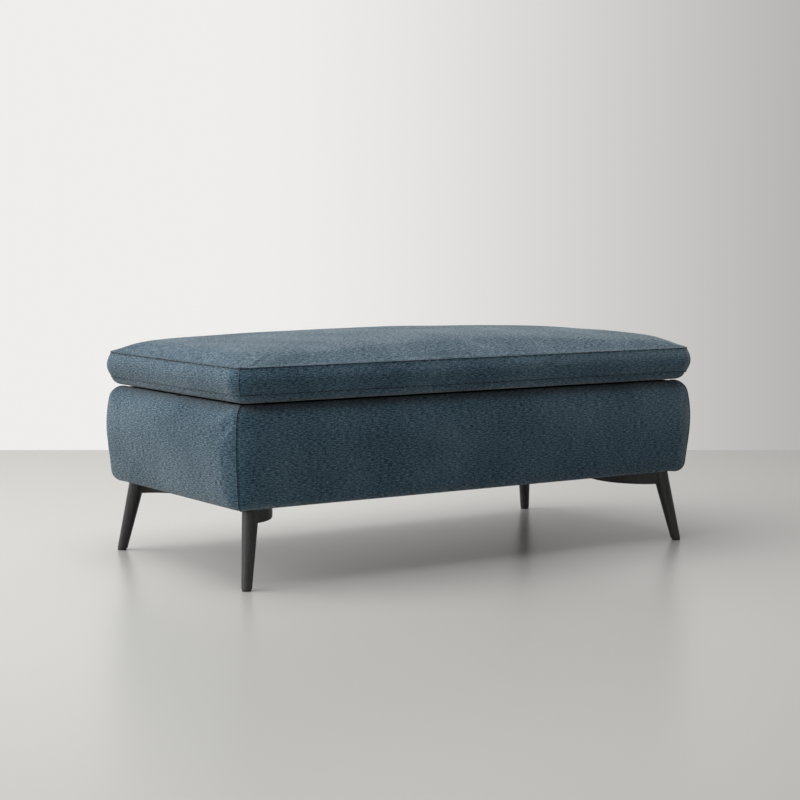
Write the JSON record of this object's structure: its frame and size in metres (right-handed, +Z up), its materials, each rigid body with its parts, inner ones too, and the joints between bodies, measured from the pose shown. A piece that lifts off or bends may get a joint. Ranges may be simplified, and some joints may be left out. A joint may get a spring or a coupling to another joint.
{
  "type": "storage ottoman",
  "caption": "Upholstered rectangular storage ottoman: a padded timber box on splayed wooden legs, closed by a hinged, domed lid cushion.",
  "frame": {"origin": "centre of the footprint, on the ground under the glides", "axes": "+X along the length, +Y towards the hinged back, +Z up"},
  "size_m": [1.1938, 0.622, 0.4812],
  "materials": {
    "timber": "raw plywood and softwood",
    "foam": "cut foam under wadding",
    "upholstery_cloth": "mottled blue plain weave, matt",
    "lining_cloth": "thin black non-woven cloth",
    "stained_wood": "black stain, satin",
    "glide_plastic": "moulded black",
    "plated_steel": "zinc plated",
    "bumper_rubber": "matt"
  },
  "bodies": {
    "base": {"front_panel": "timber", "back_panel": "timber", "left_panel": "timber", "right_panel": "timber", "leg_block_front_left": "timber", "leg_block_front_right": "timber", "leg_block_back_left": "timber", "leg_block_back_right": "timber", "front_cleat": "timber", "back_cleat": "timber", "left_cleat": "timber", "right_cleat": "timber", "left_cross_rail": "timber", "right_cross_rail": "timber", "floor_panel": "timber", "front_padding": "foam", "back_padding": "foam", "left_padding": "foam", "right_padding": "foam", "body_cover": "upholstery_cloth", "storage_lining": "lining_cloth", "dust_cover": "lining_cloth", "leg_front_left": "stained_wood", "leg_front_right": "stained_wood", "leg_back_left": "stained_wood", "leg_back_right": "stained_wood", "leg_arm_front_left": "stained_wood", "leg_arm_front_right": "stained_wood", "leg_arm_back_left": "stained_wood", "leg_arm_back_right": "stained_wood", "glide_front_left": "glide_plastic", "glide_front_right": "glide_plastic", "glide_back_left": "glide_plastic", "glide_back_right": "glide_plastic", "leg_dowels": "timber", "arm_screws": "plated_steel", "bumpers": "bumper_rubber", "left_hinge_box_leaf": "plated_steel", "right_hinge_box_leaf": "plated_steel", "left_hinge_pin": "plated_steel", "right_hinge_pin": "plated_steel", "hinge_box_screws": "plated_steel"},
    "lid": {"left_hinge_lid_leaf": "plated_steel", "right_hinge_lid_leaf": "plated_steel", "hinge_lid_screws": "plated_steel", "lid_board": "timber", "lid_foam": "foam", "lid_cover": "upholstery_cloth", "lid_lining": "lining_cloth"}
  },
  "joints": [
    {"name": "lid_hinge", "type": "hinge", "parent": "base", "child": "lid", "pos_m": [0, 0.293, 0.3641], "axis": [-1, 0, 0], "range_deg": [0, 85]}
  ]
}
